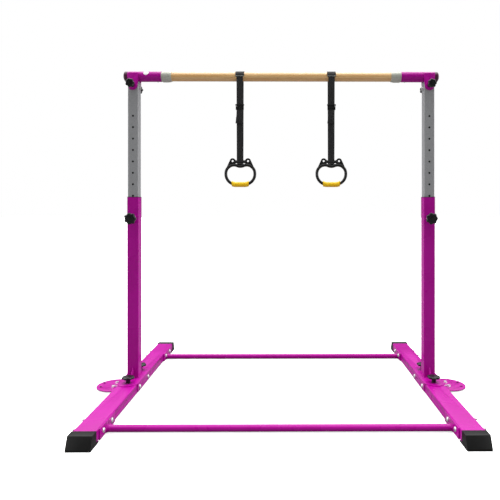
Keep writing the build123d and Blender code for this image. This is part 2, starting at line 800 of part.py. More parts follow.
def ring(x):
    """Moulded hand ring: bent strand, upper bar for the strap, and an eyeleted ear each side."""
    half_strand = tube_along(ring_half_path(), strand_radius, x)
    ear_x = ring_slot_half + ear_beyond_slot
    ear_z = ring_pivot_z + ear_rise
    angle = math.radians(ear_root_angle)
    root_x = ring_half_width - ring_shoulder_radius * (1 - math.cos(angle))
    root_z = ring_widest_z + ring_side_straight + ring_shoulder_radius * math.sin(angle)
    inner = (ring_slot_half + ring_bar_radius, ring_pivot_z, ring_bar_radius)
    ear = (ear_x, ear_z, ear_radius)
    root = (root_x, root_z, strand_radius)
    web = hull_of(ear, inner) + hull_of(ear, root) + hull_of(root, inner)
    web -= Pos(ear_x, ear_z) * Circle(ear_hole_radius)
    side = Plane(origin=(x, ear_thickness / 2, 0), x_dir=(1, 0, 0), z_dir=(0, -1, 0))
    half_ring = half_strand + extrude(side * web, ear_thickness)
    levels = (ring_pivot_z - ring_seat_depth, ring_pivot_z)
    seat = block((x, x + ring_slot_half), (-ear_thickness / 2, ear_thickness / 2), levels)
    at = (0, ring_pivot_z)
    half_ring += seat - rod("X", x - overcut, x + ring_slot_half, ring_seat_radius, at)
    bar_end = x + ring_slot_half + ring_bar_radius
    half_ring += rod("X", x, bar_end, ring_bar_radius, at)
    return half_ring + mirrored_about(half_ring, x)


def grip(x):
    """Soft tube round the bottom of the ring, following its bend, cut square at the ends."""
    edges = ring_half_path()[:2]
    outer = tube_along(edges, grip_diameter / 2, x)
    outer -= tube_along(edges, strand_radius + grip_clearance, x)
    around = 2 * grip_diameter
    levels = (ring_bottom_z - around, ring_bottom_z + around)
    outer &= block((x, x + grip_length / 2), (-around, around), levels)
    return outer + mirrored_about(outer, x)


# ---------------------------------------------------------------- write the nodes
save_pair("base_leg", base_leg())
save_four("end_cap", end_cap())
for end in ("front", "rear"):
    save(f"cross_tube_{end}", cross_tube(end))
    save(f"flanges_{end}", *four_times([flange(end)]))
flange_bolts, flange_nuts = flange_fasteners()
save("flange_bolts", *four_times(flange_bolts))

save_pair("foot_saddle", foot_saddle())
save_pair("floor_plate", floor_plate())
save("foot_gussets", *four_times(both_ends(gusset())))
saddle_bolts, saddle_nuts = saddle_fasteners()
save("saddle_bolts", *four_times(saddle_bolts))
save("leg_nuts", *four_times(flange_nuts + saddle_nuts))
save("plate_bolts", *four_times(both_ends(plate_bolt())))
save("knob_nuts", *four_times(both_ends(knob_nut())))
save_four("foot_knob", foot_knob())
save_four("foot_stud", foot_stud())

save_pair("outer_post", outer_post())
save("guide_bushes", *four_times([guide_bush()]))
save("pin_collars", *four_times([pin_collar()]))
save_pair("height_pin", height_pin())
save_pair("height_knob", height_knob())

save_pair("inner_post", inner_post())
save_pair("bar_sleeve", bar_sleeve())
save_pair("bar_collar", bar_collar())
save("wooden_bar", wooden_bar())
save("sleeve_screws", *four_times([sleeve_screw()]))
save("sleeve_plugs", *four_times([sleeve_plug()]))
save("yoke_lugs", *four_times(both_ends(yoke_lug())))
save("pivot_bolts", *four_times([pivot_bolt()]))
save("lock_bolts", *four_times([lock_bolt(), lock_nut()]))
save_pair("top_knob_front", top_knob())
save_pair("top_knob_rear", behind(top_knob()))

for hand in ("left", "right"):
    save(f"strap_{hand}", strap(strap_centres[hand]))
    save(f"buckle_{hand}", buckle(strap_centres[hand]))
    save(f"ring_{hand}", ring(ring_centres[hand]))
    save(f"grip_{hand}", grip(ring_centres[hand]))
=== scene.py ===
"""Kip bar: what the eye sees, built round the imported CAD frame."""

import math

import bmesh
import bpy
from mathutils import Matrix, Vector


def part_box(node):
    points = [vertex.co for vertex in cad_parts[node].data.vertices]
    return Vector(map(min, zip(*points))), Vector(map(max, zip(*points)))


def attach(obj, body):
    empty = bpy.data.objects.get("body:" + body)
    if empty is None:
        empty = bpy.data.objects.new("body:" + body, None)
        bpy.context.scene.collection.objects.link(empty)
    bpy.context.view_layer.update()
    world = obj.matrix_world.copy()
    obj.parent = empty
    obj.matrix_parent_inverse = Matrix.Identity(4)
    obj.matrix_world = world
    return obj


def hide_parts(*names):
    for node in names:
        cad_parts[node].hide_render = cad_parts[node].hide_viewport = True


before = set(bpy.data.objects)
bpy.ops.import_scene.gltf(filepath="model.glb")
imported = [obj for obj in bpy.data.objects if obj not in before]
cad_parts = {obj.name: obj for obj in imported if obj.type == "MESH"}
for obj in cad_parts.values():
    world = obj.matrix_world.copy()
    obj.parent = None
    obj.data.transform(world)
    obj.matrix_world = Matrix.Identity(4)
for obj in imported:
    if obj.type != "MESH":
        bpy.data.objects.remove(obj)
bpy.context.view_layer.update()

MM = 0.001
HANDS = {"left": -1, "right": 1}
ENDS = {"front": -1, "rear": 1}
FOURS = [(end, hand) for end in ENDS for hand in HANDS]

# how far edges are eased, in mm: cut plate, the lugs' ground edges, moulded caps
PLATE_EASE, LUG_EASE, CAP_EASE = 0.5, 1.3, 1.2
SHARP_EDGE = math.radians(35)


# ---------------------------------------------------------------- mesh tools
def middle(cad_node):
    low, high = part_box(cad_node)
    return (low + high) / 2


def ring_of(bm, radius, sides, place, lobes=0, depth=0.0):
    """One hoop of vertices on a turned and moved XY plane, scalloped where lobes is set."""
    before = set(bm.verts)
    bmesh.ops.create_circle(bm, cap_ends=False, segments=sides, radius=1.0)
    made = [v for v in bm.verts if v not in before]
    for v in made:
        swell = 1.0
        if lobes:
            swell -= depth * (0.5 - 0.5 * math.cos(lobes * math.atan2(v.co.y, v.co.x)))
        v.co = v.co * radius * swell
    bmesh.ops.transform(bm, matrix=place, verts=made)
    return list(dict.fromkeys(e for v in made for e in v.link_edges))


def join_rings(bm, rings, closed=False, capped=True):
    """Skins neighbouring hoops, and fills the first and last."""
    pairs = list(zip(rings, rings[1:]))
    if closed:
        pairs.append((rings[-1], rings[0]))
    for low, high in pairs:
        bmesh.ops.bridge_loops(bm, edges=low + high)
    if capped and not closed:
        for rim in (rings[0], rings[-1]):
            bmesh.ops.edgeloop_fill(bm, edges=rim)
    bmesh.ops.recalc_face_normals(bm, faces=bm.faces)


def turned(profile, sides, lobes=0):
    """A turned part standing on z = 0: profile lists (radius, height, scallop depth) in mm."""
    bm = bmesh.new()
    rings = []
    for radius, height, depth in profile:
        place = Matrix.Translation((0, 0, height * MM))
        rings.append(ring_of(bm, radius * MM, sides, place, lobes, depth))
    join_rings(bm, rings)
    return bm


def add_to(bm, other, place=None):
    """Moves the other bmesh's faces into this one."""
    if place is not None:
        bmesh.ops.transform(other, matrix=place, verts=other.verts)
    mesh = bpy.data.meshes.new("part")
    other.to_mesh(mesh)
    other.free()
    bm.from_mesh(mesh)
    bpy.data.meshes.remove(mesh)


def soft_box(size, at, radius, segments=2):
    """A box with all its edges rounded, sizes in metres."""
    bm = bmesh.new()
    bmesh.ops.create_cube(bm, size=1.0)
    bmesh.ops.scale(bm, vec=size, verts=bm.verts)
    round_edges(bm, bm.edges[:], radius, segments)
    bmesh.ops.translate(bm, vec=at, verts=bm.verts)
    return bm


def round_edges(bm, edges, width, segments=2):
    bmesh.ops.bevel(
        bm,
        geom=edges,
        offset=width,
        offset_type="OFFSET",
        segments=segments,
        profile=0.5,
        affect="EDGES",
        clamp_overlap=True,
        material=-1,
    )


def piece(name, bm, material, body, nodes=(), smooth=40):
    """Makes the bmesh a piece that rides on a body and stands for its CAD nodes."""
    mesh = bpy.data.meshes.new(name)
    bm.to_mesh(mesh)
    bm.free()
    mesh.shade_smooth()
    mesh.set_sharp_from_angle(angle=math.radians(smooth))
    mesh.materials.append(material)
    made = bpy.data.objects.new(name, mesh)
    bpy.context.scene.collection.objects.link(made)
    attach(made, body)
    if nodes:
        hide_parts(*nodes)
    return made


def copy_of(cad_node):
    """The CAD node's faces as one closed skin, flat faces whole again."""
    bm = bmesh.new()
    bm.from_mesh(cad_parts[cad_node].data)
    bmesh.ops.remove_doubles(bm, verts=bm.verts, dist=0.005 * MM)
    bmesh.ops.dissolve_limit(
        bm, angle_limit=math.radians(0.5), verts=bm.verts[:], edges=bm.edges[:]
    )
    return bm


def softened(cad_node, material, body, width=PLATE_EASE):
    """A CAD part with its sharp edges eased, as a file and a coat of paint leave them."""
    bm = copy_of(cad_node)
    sharp = []
    for edge in bm.edges:
        if edge.is_manifold and edge.calc_face_angle(0.0) > SHARP_EDGE:
            sharp.append(edge)
    round_edges(bm, sharp, width * MM)
    piece(f"{cad_node}_eased", bm, material, body, [cad_node], smooth=32)


# ---------------------------------------------------------------- material tools
def linear(colour):
    """An sRGB hex colour as the linear values that a shader takes."""
    values = []
    for start in (1, 3, 5):
        c = int(colour[start : start + 2], 16) / 255
        values.append(c / 12.92 if c <= 0.04045 else ((c + 0.055) / 1.055) ** 2.4)
    return (*values, 1.0)


def node(tree, kind, inputs=None, **settings):
    """Adds a node, sets its settings, and sets or links its inputs."""
    made = tree.nodes.new(kind)
    for key, value in settings.items():
        setattr(made, key, value)
    for key, value in (inputs or {}).items():
        if isinstance(value, bpy.types.NodeSocket):
            tree.links.new(value, made.inputs[key])
        else:
            made.inputs[key].default_value = value
    return made


def new_material(name, **shader):
    """A Principled material. The shader's own values are numbers on its sockets."""
    made = bpy.data.materials.new(name)
    made.use_nodes = True
    tree = made.node_tree
    surface = tree.nodes["Principled BSDF"]
    for key, value in shader.items():
        surface.inputs[key.replace("_", " ")].default_value = value
    coords = tree.nodes.new("ShaderNodeTexCoord")
    return made, tree, surface, coords


def mix(tree, factor, dark, light):
    """Colour between two hex colours or sockets."""
    ends = [linear(c) if isinstance(c, str) else c for c in (dark, light)]
    made = node(
        tree,
        "ShaderNodeMix",
        {0: factor, 6: ends[0], 7: ends[1]},
        data_type="RGBA",
    )
    return made.outputs[2]


def span(tree, value, low, high, to_low=0.0, to_high=1.0):
    """Maps low..high of a value to a new range, held at the ends."""
    made = node(
        tree,
        "ShaderNodeMapRange",
        {0: value, 1: low, 2: high, 3: to_low, 4: to_high},
    )
    return made.outputs[0]


def noise(tree, vector, period, detail=3.0, roughness=0.55):
    """Noise whose blotches are about period metres across."""
    made = node(
        tree,
        "ShaderNodeTexNoise",
        {"Vector": vector, "Scale": 1 / period, "Detail": detail, "Roughness": roughness},
    )
    return made.outputs["Fac"]


def wave(tree, value, period):
    """A smooth wave from 0 to 1 that repeats every period metres."""
    turn = node(
        tree, "ShaderNodeMath", {0: value, 1: 2 * math.pi / period}, operation="MULTIPLY"
    ).outputs[0]
    sine = node(tree, "ShaderNodeMath", {0: turn}, operation="SINE").outputs[0]
    return span(tree, sine, -1.0, 1.0)


def relief(tree, surface, height, depth, strength):
    """Raises the surface by depth metres where the height is 1."""
    inputs = {"Height": height, "Distance": depth, "Strength": strength}
    made = node(tree, "ShaderNodeBump", inputs)
    tree.links.new(made.outputs["Normal"], surface.inputs["Normal"])


# ---------------------------------------------------------------- materials
def powder_coat_magenta():
    """Gloss polyester powder coat: deep magenta with orange peel and a wet, bright gloss."""
    made, tree, surface, coords = new_material(
        "gloss_polyester_powder_coat_magenta",
        Roughness=0.27,
        IOR=1.5,
        Specular_IOR_Level=0.2,
    )
    place = coords.outputs["Object"]
    cloud = noise(tree, place, 160 * MM)
    speck = noise(tree, place, 3 * MM, detail=1.0)
    base = mix(tree, span(tree, cloud, 0.3, 0.7), "#A6078A", "#B00B95")
    worn = mix(tree, span(tree, speck, 0.7, 0.8, 0.0, 0.15), base, "#C23CA8")
    tree.links.new(worn, surface.inputs["Base Color"])
    tree.links.new(span(tree, cloud, 0.3, 0.7, 0.22, 0.33), surface.inputs["Roughness"])
    # orange peel is about 2 mm across on thick powder paint
    relief(tree, surface, noise(tree, place, 2.4 * MM, detail=1.5), 0.015 * MM, 0.4)
    return made


def powder_coat_silver_vein():
    """Silver vein powder coat: dark and light grey grains with a metallic glint."""
    made, tree, surface, coords = new_material(
        "silver_vein_powder_coat", Metallic=0.2, Roughness=0.5, IOR=1.5
    )
    place = coords.outputs["Object"]
    grain = noise(tree, place, 2.2 * MM, detail=4.0, roughness=0.7)
    cloud = noise(tree, place, 90 * MM)
    base = mix(tree, span(tree, grain, 0.36, 0.64), "#868789", "#AAABAD")
    shade = mix(tree, span(tree, cloud, 0.3, 0.7, 0.0, 0.2), base, "#939497")
    tree.links.new(shade, surface.inputs["Base Color"])
    tree.links.new(span(tree, grain, 0.3, 0.7, 0.62, 0.4), surface.inputs["Roughness"])
    relief(tree, surface, grain, 0.05 * MM, 0.5)
    return made


def zinc_plate():
    """Bright zinc plating on rolled steel: pale, a little blue, dulled in patches."""
    made, tree, surface, coords = new_material(
        "bright_zinc_plated_steel", Metallic=0.75, Roughness=0.28
    )
    place = coords.outputs["Object"]
    patch = noise(tree, place, 4 * MM, detail=3.0)
    base = mix(tree, span(tree, patch, 0.35, 0.7), "#C9CCD2", "#E9E7DF")
    tree.links.new(base, surface.inputs["Base Color"])
    tree.links.new(span(tree, patch, 0.3, 0.7, 0.22, 0.4), surface.inputs["Roughness"])
    relief(tree, surface, noise(tree, place, 0.8 * MM), 0.02 * MM, 0.5)
    return made


def lacquered_beech():
    """Laminated beech under clear lacquer: long fine grain, short dark flecks, glued layers."""
    made, tree, surface, coords = new_material(
        "lacquered_laminated_beech",
        Roughness=0.42,
        IOR=1.5,
        Coat_Weight=0.8,
        Coat_Roughness=0.38,
    )
    place = coords.outputs["Object"]
    # beech grain runs along the bar, so the pattern is drawn out fifty times along X
    long_grain = node(
        tree, "ShaderNodeMapping", {"Vector": place, "Scale": (0.02, 1.0, 1.0)}
    ).outputs[0]
    rings = noise(tree, long_grain, 6 * MM, detail=4.0, roughness=0.6)
    fine = noise(tree, long_grain, 0.9 * MM, detail=3.0, roughness=0.7)
    short = node(
        tree, "ShaderNodeMapping", {"Vector": place, "Scale": (0.12, 1.0, 1.0)}
    ).outputs[0]
    flecks = noise(tree, short, 0.7 * MM, detail=1.0)
    base = mix(tree, span(tree, rings, 0.35, 0.65), "#E2AE68", "#F4CE92")
    grain = mix(tree, span(tree, fine, 0.4, 0.62, 0.0, 0.35), base, "#C08D4E")
    fleck = mix(tree, span(tree, flecks, 0.66, 0.74, 0.0, 0.6), grain, "#7E5429")
    # glued layers about 8 mm thick
    parts = node(tree, "ShaderNodeSeparateXYZ", {0: place})
    layer = node(
        tree, "ShaderNodeMath", {0: parts.outputs[1], 1: 8 * MM}, operation="PINGPONG"
    ).outputs[0]
    glued = mix(tree, span(tree, layer, 0.0, 0.25 * MM, 0.55, 0.0), fleck, "#8A5E30")
    tree.links.new(glued, surface.inputs["Base Color"])
    relief(tree, surface, fine, 0.04 * MM, 0.5)
    return made


def painted_grey():
    """Satin grey paint on a swaged steel ring, brushed round by its masking."""
    made, tree, surface, coords = new_material(
        "satin_grey_painted_steel", Metallic=0.2, Roughness=0.42, IOR=1.5
    )
    place = coords.outputs["Object"]
    round_lines = node(
        tree, "ShaderNodeMapping", {"Vector": place, "Scale": (1.0, 0.08, 0.08)}
    ).outputs[0]
    lines = noise(tree, round_lines, 1.6 * MM, detail=2.0)
    base = mix(tree, span(tree, lines, 0.35, 0.65), "#AEB1A5", "#C4C6BA")
    tree.links.new(base, surface.inputs["Base Color"])
    relief(tree, surface, lines, 0.05 * MM, 0.5)
    return made


def moulded_plastic(name, dark, light, rough, grit=0.9, depth=0.03, scratch=None, shine=0.5):
    """Injection-moulded plastic: fine spark-eroded grain, faint flow clouds and scuffs."""
    made, tree, surface, coords = new_material(
        name, Roughness=rough, IOR=1.47, Specular_IOR_Level=shine
    )
    place = coords.outputs["Object"]
    cloud = noise(tree, place, 25 * MM)
    grain = noise(tree, place, grit * MM, detail=2.0)
    base = mix(tree, span(tree, cloud, 0.3, 0.7), dark, light)
    if scratch:
        scuff = noise(tree, place, 5 * MM, detail=6.0, roughness=0.8)
        base = mix(tree, span(tree, scuff, 0.62, 0.72, 0.0, 0.5), base, scratch)
    tree.links.new(base, surface.inputs["Base Color"])
    rougher = span(tree, grain, 0.3, 0.7, max(rough - 0.06, 0.05), rough + 0.06)
    tree.links.new(rougher, surface.inputs["Roughness"])
    relief(tree, surface, grain, depth * MM, 0.6)
    return made


def woven_webbing():
    """Black polyester webbing: ribs along the strap, crossed by a tight twill of picks."""
    made, tree, surface, coords = new_material(
        "woven_polyester_webbing_black",
        Roughness=0.72,
        IOR=1.5,
        Sheen_Weight=0.12,
        Sheen_Roughness=0.4,
    )
    cloth = coords.outputs["UV"]
    parts = node(tree, "ShaderNodeSeparateXYZ", {0: cloth})
    along, across = parts.outputs[0], parts.outputs[1]
    # real ribs are 1 mm apart; 2 mm ribs are the finest that still show
    rib = wave(tree, across, 2.0 * MM)
    shifted = node(
        tree, "ShaderNodeMath", {0: across, 1: 0.9, 2: along}, operation="MULTIPLY_ADD"
    ).outputs[0]
    pick = wave(tree, shifted, 1.6 * MM)
    weave = node(tree, "ShaderNodeMath", {0: rib, 1: pick}, operation="MULTIPLY").outputs[0]
    fuzz = noise(tree, coords.outputs["Object"], 1.2 * MM, detail=3.0)
    base = mix(tree, span(tree, weave, 0.1, 0.9), "#040405", "#17171B")
    worn = mix(tree, span(tree, fuzz, 0.6, 0.75, 0.0, 0.2), base, "#2A2A2F")
    tree.links.new(worn, surface.inputs["Base Color"])
    relief(tree, surface, weave, 0.35 * MM, 0.8)
    return made


def soft_yellow():
    """Foamed soft PVC in warm yellow: matt skin with fine pores, darker in the pores."""
    made, tree, surface, coords = new_material(
        "foamed_soft_pvc_yellow", Roughness=0.5, IOR=1.45, Subsurface_Weight=0.08
    )
    surface.inputs["Subsurface Radius"].default_value = (3 * MM, 1.5 * MM, 0.4 * MM)
    place = coords.outputs["Object"]
    cloud = noise(tree, place, 14 * MM)
    pores = node(
        tree, "ShaderNodeTexVoronoi", {"Vector": place, "Scale": 1 / (1.1 * MM)}
    ).outputs["Distance"]
    base = mix(tree, span(tree, cloud, 0.3, 0.7), "#FFC600", "#FFD40A")
    pored = mix(tree, span(tree, pores, 0.0, 0.2, 0.15, 0.0), base, "#E09C00")
    tree.links.new(pored, surface.inputs["Base Color"])
    relief(tree, surface, span(tree, pores, 0.0, 0.3), 0.03 * MM, 0.4)
    return made


def paper_label():
    """White vinyl sticker, slightly glossy, with a faint cloudy tone."""
    made, tree, surface, coords = new_material(
        "white_vinyl_sticker", Roughness=0.3, IOR=1.5
    )
    cloud = noise(tree, coords.outputs["Object"], 6 * MM)
    tree.links.new(
        mix(tree, span(tree, cloud, 0.3, 0.7), "#F1EFEC", "#FBFAF8"),
        surface.inputs["Base Color"],
    )
    relief(tree, surface, cloud, 0.03 * MM, 0.5)
    return made


def studio_floor_paint():
    """Matt white floor paint, almost without pattern, that throws little light back up."""
    made, tree, surface, coords = new_material(
        "matt_white_floor_paint", Roughness=0.9, Specular_IOR_Level=0.1
    )
    cloud = noise(tree, coords.outputs["Object"], 0.6)
    pale = mix(tree, span(tree, cloud, 0.3, 0.7), "#F4F4F4", "#F8F8F8")
    path = node(tree, "ShaderNodeLightPath")
    seen = path.outputs["Is Camera Ray"]
    tree.links.new(mix(tree, seen, "#7A7A7A", pale), surface.inputs["Base Color"])
    # lit from beneath, as a product sweep is, so that it stays white between the legs
    tree.links.new(pale, surface.inputs["Emission Color"])
    tree.links.new(span(tree, seen, 0.0, 1.0, 0.0, 0.75), surface.inputs["Emission Strength"])
    return made


MAGENTA = powder_coat_magenta()
SILVER = powder_coat_silver_vein()
ZINC = zinc_plate()
BEECH = lacquered_beech()
GREY = painted_grey()
CAP_BLACK = moulded_plastic(
    "moulded_polypropylene_black", "#060606", "#0D0D0D", 0.45, scratch="#242423", shine=0.35
)
KNOB_BLACK = moulded_plastic("moulded_nylon_black", "#050507", "#0A0A0C", 0.34)
RING_BLACK = moulded_plastic("moulded_abs_black", "#050505", "#0B0B0C", 0.4)
# the sleeve plugs' dark maroon is painted shade: it stands for the dark reflection on the bar's
# rounded ends
PLUG_PAINTED_SHADE = moulded_plastic("moulded_pvc_plum_painted_shade", "#3E0A2C", "#521239", 0.35)
WEBBING = woven_webbing()
THREAD = moulded_plastic("bonded_nylon_thread_grey", "#3E3E42", "#57575C", 0.6, grit=0.5)
BINDING = moulded_plastic("woven_nylon_binding_grey", "#9A9F98", "#B4B8B1", 0.7, grit=0.6)
YELLOW = soft_yellow()
# bare steel scale, darkened to near black as painted shade inside the upper posts
SCALE_AND_PAINTED_SHADE = moulded_plastic("bare_steel_scale_and_painted_shade", "#050505", "#0E0D0D", 0.6)
LABEL = paper_label()


# ---------------------------------------------------------------- steel work
EASED = {
    "base": [
        *(f"base_leg_{hand}" for hand in HANDS),
        *(f"foot_saddle_{hand}" for hand in HANDS),
        *(f"floor_plate_{hand}" for hand in HANDS),
        "flanges_front",
        "flanges_rear",
        "foot_gussets",
    ],
    "bar_frame": ["yoke_lugs"],
}
for body, names in EASED.items():
    for name in names:
        width = LUG_EASE if name == "yoke_lugs" else PLATE_EASE
        softened(name, MAGENTA, body, width)
for end, hand in FOURS:
    softened(f"end_cap_{end}_{hand}", CAP_BLACK, "base", CAP_EASE)

FINISHES = {
    "guide_bushes": CAP_BLACK,
    "wooden_bar": BEECH,
    # dark maroon plugs: painted shade at the bar's ends
    "sleeve_plugs": PLUG_PAINTED_SHADE,
    "knob_nuts": ZINC,
    "pivot_bolts": ZINC,
    "lock_bolts": ZINC,
    "sleeve_screws": ZINC,
    "pin_collars": ZINC,
}
for hand in HANDS:
    FINISHES[f"outer_post_{hand}"] = MAGENTA
    FINISHES[f"bar_sleeve_{hand}"] = MAGENTA
    FINISHES[f"inner_post_{hand}"] = SILVER
    FINISHES[f"bar_collar_{hand}"] = GREY
    FINISHES[f"height_pin_{hand}"] = ZINC
for end in ENDS:
    FINISHES[f"cross_tube_{end}"] = MAGENTA
for end, hand in FOURS:
    FINISHES[f"foot_stud_{end}_{hand}"] = ZINC

for cad_node, material in FINISHES.items():
    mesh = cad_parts[cad_node].data
    mesh.materials.clear()
    mesh.materials.append(material)
    mesh.shade_smooth()
    mesh.set_sharp_from_angle(angle=math.radians(32))

# the upper posts' bores and hole walls are bare steel inside, coloured near black as painted shade
NEARLY_WALL = 1.9 * MM
PAST_HOLE = 6 * MM
for hand in HANDS:
    name = f"inner_post_{hand}"
    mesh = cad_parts[name].data
    mesh.materials.append(SCALE_AND_PAINTED_SHADE)
    low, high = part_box(name)
    x = (low.x + high.x) / 2
    inside = (high.x - low.x) / 2 - NEARLY_WALL
    for face in mesh.polygons:
        across = max(abs(face.center.x - x), abs(face.center.y))
        in_bore = across < inside
        by_hole = abs(face.center.x - x) < PAST_HOLE and abs(face.normal.y) < 0.1
        if in_bore or by_hole and abs(face.normal.z) < 0.999:
            face.material_index = 1


# ---------------------------------------------------------------- star knobs
LOBES = 7
SCALLOP = 0.15
KNOB_SIDES = 18 * LOBES
# heights and sizes in mm
FOOT_HUB, TOP_HUB, HEIGHT_HUB = 17.0, 30.5, 5.0
FOOT_HUB_RADIUS, HUB_RADIUS = 9.5, 10.0
FOOT_KNOB_DIAMETER, TOP_KNOB_DIAMETER, HEIGHT_KNOB_DIAMETER = 54.0, 39.0, 52.0
TURN_FRONT = Matrix.Rotation(math.radians(90), 4, "X")
TURN_REAR = Matrix.Rotation(math.radians(-90), 4, "X")


def star_knob(name, profile, place, body, cad_node):
    """Seven-lobed hand knob: waisted hub, crowned head and a pressed-in centre cap."""
    bm = turned(profile, KNOB_SIDES, LOBES)
    bmesh.ops.transform(bm, matrix=place, verts=bm.verts)
    piece(name, bm, KNOB_BLACK, body, [cad_node], smooth=30)


def knob_profile(outside, hub, hub_height, head):
    """Hoops from the hub's foot to the middle of the head, sizes in mm."""
    top = hub_height + head
    cap = outside * 0.40
    depth = SCALLOP
    return [
        (hub * 0.80, 0.0, 0.0),
        (hub, 0.6, 0.0),
        (hub, hub_height - 2.0, 0.0),
        (hub * 1.12, hub_height, 0.0),
        (outside * 0.84, hub_height + 0.2, depth * 0.85),
        (outside * 0.95, hub_height + 1.2, depth * 0.95),
        (outside, hub_height + 3.4, depth),
        (outside, top - 5.0, depth),
        (outside * 0.97, top - 2.8, depth),
        (outside * 0.89, top - 1.2, depth * 0.85),
        (outside * 0.76, top - 0.3, depth * 0.45),
        (outside * 0.60, top, depth * 0.1),
        (cap + 0.9, top - 0.1, 0.0),
        (cap + 0.4, top - 1.2, 0.0),
        (cap, top - 1.2, 0.0),
        (cap - 0.4, top - 0.5, 0.0),
        (cap * 0.7, top - 0.1, 0.0),
        (cap * 0.25, top, 0.0),
    ]


for end, hand in FOURS:
    name = f"foot_knob_{end}_{hand}"
    low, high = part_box(name)
    stud = middle(f"foot_stud_{end}_{hand}")
    place = Matrix.Translation((stud.x, stud.y, low.z))
    head = (high.z - low.z) / MM - FOOT_HUB
    profile = knob_profile(FOOT_KNOB_DIAMETER / 2, FOOT_HUB_RADIUS, FOOT_HUB, head)
    star_knob(f"{name}_moulded", profile, place, name, name)

    name = f"top_knob_{end}_{hand}"
    low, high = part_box(name)
    pivot = middle("pivot_bolts")
    turn = TURN_FRONT if end == "front" else TURN_REAR
    foot_y = high.y if end == "front" else low.y
    place = Matrix.Translation((stud.x, foot_y, pivot.z)) @ turn
    head = (high.y - low.y) / MM - TOP_HUB
    profile = knob_profile(TOP_KNOB_DIAMETER / 2, HUB_RADIUS, TOP_HUB, head)
    star_knob(f"{name}_moulded", profile, place, name, name)

for hand in HANDS:
    name = f"height_knob_{hand}"
    low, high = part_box(name)
    pin = middle(f"height_pin_{hand}")
    place = Matrix.Translation((pin.x, high.y, pin.z)) @ TURN_FRONT
    head = (high.y - low.y) / MM - HEIGHT_HUB
    profile = knob_profile(HEIGHT_KNOB_DIAMETER / 2, HUB_RADIUS, HEIGHT_HUB, head)
    star_knob(f"{name}_moulded", profile, place, f"height_pin_{hand}", name)


# ---------------------------------------------------------------- bolts and nuts
# M8 fasteners, in mm: nut over its flats and its height, thread, and bolt past the leg
FLATS, NUT_HEIGHT = 13.0, 7.0
THREAD_RADIUS, THREAD_PITCH = 4.0, 1.25
BOLT_TAIL = 22.0
# (radius, height, no scallop) of turned shapes
DOME = [(9.0, 0, 0), (9.0, 0.9, 0), (8.4, 2.3, 0), (7.0, 3.6, 0), (4.6, 4.6, 0), (1.6, 5.0, 0)]
NUT_FLANGE = [(4.4, 0, 0), (9.0, 0, 0), (9.0, 0.7, 0), (7.2, 1.8, 0), (4.4, 1.8, 0)]
WASHER = [(8.4, 0, 0), (8.5, 0.3, 0), (8.5, 1.2, 0), (8.1, 1.5, 0)]
WASHER_RADIUS = 8.5 * MM


def hexagon_head(place, bm):
    """Hexagon with its corners turned off to a dome."""
    flat = FLATS / 2
    reach = flat / math.cos(math.radians(30))
    side_height = NUT_HEIGHT * 0.82
    hoops = ((reach, 0.0), (reach, side_height), (flat * 0.96, NUT_HEIGHT), (0.8, NUT_HEIGHT))
    head = bmesh.new()
    rings = []
    for radius, z in hoops:
        at = Matrix.Translation((0, 0, z * MM))
        rings.append(ring_of(head, radius * MM, 6, at))
    join_rings(head, rings)
    add_to(bm, head, place)


def bolt_tail(place, bm):
    """The bolt's thread past the leg, as close ridges."""
    rings = []
    turns = round(BOLT_TAIL / THREAD_PITCH)
    screw = bmesh.new()
    for step in range(2 * turns + 1):
        crest = THREAD_RADIUS if step % 2 else THREAD_RADIUS * 0.86
        at = Matrix.Translation((0, 0, BOLT_TAIL * step / (2 * turns) * MM))
        rings.append(ring_of(screw, crest * MM, 20, at))
    join_rings(screw, rings)
    add_to(bm, screw, place)


def domed_bolts(cad_node, heads, tails):
    """A group of dome-headed bolts as one piece: their heads and their threaded ends."""
    bm = bmesh.new()
    for place in heads:
        add_to(bm, turned(DOME, 40), place)
    for place in tails:
        bolt_tail(place, bm)
    piece(f"{cad_node}_zinc", bm, ZINC, "base", [cad_node], smooth=30)


leg_low, leg_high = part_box("base_leg_right")
leg_x = (leg_low.x + leg_high.x) / 2
side = (leg_high.x - leg_low.x) / 2
bolt_z = (leg_low.z + leg_high.z) / 2
# bolts along the leg from the middle of a flange or of the foot, and the plates' thicknesses
FLANGE_BOLT = 42 * MM
SADDLE_BOLT = 65 * MM
FLANGE = 4 * MM
SADDLE = 3 * MM


def across_leg(x, y, sign):
    """Place on a leg's side, with local z pointing outboard times sign."""
    turn = Matrix.Rotation(math.radians(90 * sign), 4, "Y")
    return Matrix.Translation((x, y, bolt_z)) @ turn


flange_heads, flange_tails, saddle_heads, saddle_tails, saddle_nuts = [], [], [], [], []
for sign in HANDS.values():
    for end, end_sign in ENDS.items():
        for step in (-FLANGE_BOLT, FLANGE_BOLT):
            y = middle(f"flanges_{end}").y + step
            flange_heads.append(across_leg(sign * (leg_x - side - FLANGE), y, -sign))
            flange_tails.append(across_leg(sign * (leg_x + side), y, sign))
        y = end_sign * SADDLE_BOLT
        saddle_heads.append(across_leg(sign * (leg_x - side - SADDLE), y, -sign))
        saddle_tails.append(across_leg(sign * (leg_x + side), y, sign))
        saddle_nuts.append(across_leg(sign * (leg_x + side + SADDLE), y, sign))
domed_bolts("flange_bolts", flange_heads, flange_tails)
domed_bolts("saddle_bolts", saddle_heads, saddle_tails)

bm = bmesh.new()
for place in flange_tails + saddle_nuts:
    add_to(bm, turned(NUT_FLANGE, 36), place)
    hexagon_head(place, bm)
piece("leg_nuts_zinc", bm, ZINC, "base", ["leg_nuts"], smooth=30)

bm = bmesh.new()
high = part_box("plate_bolts")[1]
plate_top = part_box("floor_plate_right")[1].z
for sign in HANDS.values():
    for end_sign in ENDS.values():
        x, y = sign * (high.x - WASHER_RADIUS), end_sign * (high.y - WASHER_RADIUS)
        at = Matrix.Translation((x, y, plate_top))
        add_to(bm, turned(WASHER, 40), at)
        hexagon_head(at, bm)
piece("plate_bolts_zinc", bm, ZINC, "base", ["plate_bolts"], smooth=30)


